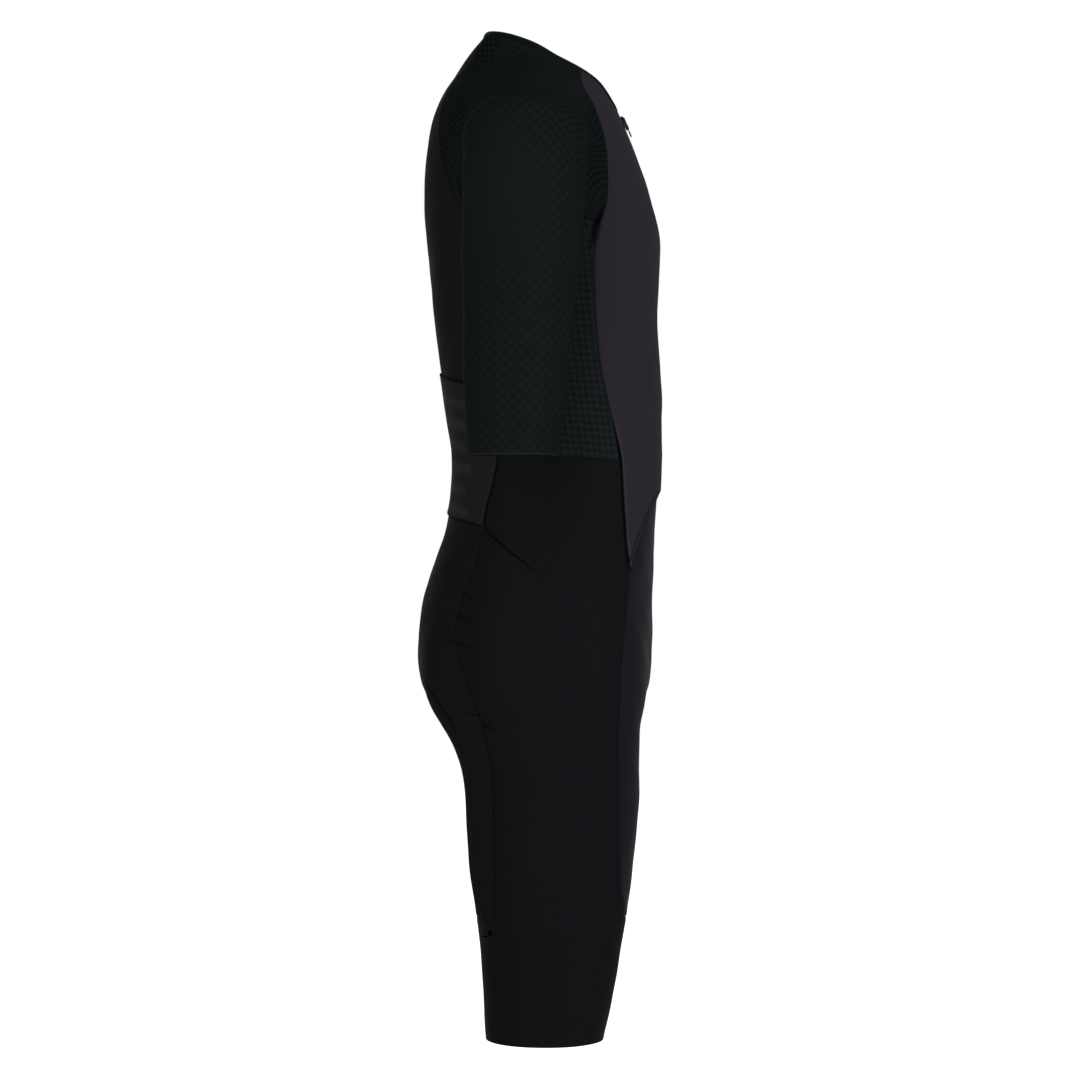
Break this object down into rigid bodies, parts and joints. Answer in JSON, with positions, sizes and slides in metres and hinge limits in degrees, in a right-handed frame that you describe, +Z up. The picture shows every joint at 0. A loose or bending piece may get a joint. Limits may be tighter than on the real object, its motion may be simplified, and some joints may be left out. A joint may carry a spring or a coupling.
{
  "type": "cycling skinsuit",
  "caption": "Worn one-piece cycling skinsuit with short raglan sleeves, a full front zip, a rear pocket and fitted shorts.",
  "frame": {"origin": "middle of the neck opening, where the wearer's neck comes through", "axes": "+Z up along the worn garment's height, -Y the front with the zip, +X the wearer's left"},
  "size_m": [0.6184, 0.2434, 0.9876],
  "materials": {
    "jersey_front": "smooth charcoal knit, faint purple cast",
    "jersey_back": "matt black knit",
    "pocket": "matt black knit with paler bands",
    "side_knit": "textured knit, small squares",
    "sleeve_knit": "textured knit, small diamonds",
    "binding": "smooth elastic binding",
    "shorts": "dense glossy stretch knit",
    "seat": "matt stretch knit",
    "zip_chain": "fine black coil zip",
    "zip_metal": "satin black"
  },
  "bodies": {
    "suit": {"jersey_front_left": "jersey_front", "jersey_front_right": "jersey_front", "jersey_back": "jersey_back", "back_pocket": "pocket", "side_panel_left": "side_knit", "side_panel_right": "side_knit", "sleeve_left": "sleeve_knit", "sleeve_right": "sleeve_knit", "neck_binding": "binding", "zip_chain": "zip_chain", "zip_slider": "zip_metal", "shorts_side_left": "shorts", "shorts_side_right": "shorts", "shorts_front_left": "shorts", "shorts_front_right": "shorts", "seat_left": "seat", "seat_right": "seat"},
    "pull_tab": {"zip_pull": "zip_metal"}
  },
  "joints": [
    {"name": "pull_tab_hinge", "type": "hinge", "parent": "suit", "child": "pull_tab", "pos_m": [0, -0.08768, -0.0686], "axis": [-1, 0, 0], "range_deg": [0, 120]}
  ]
}
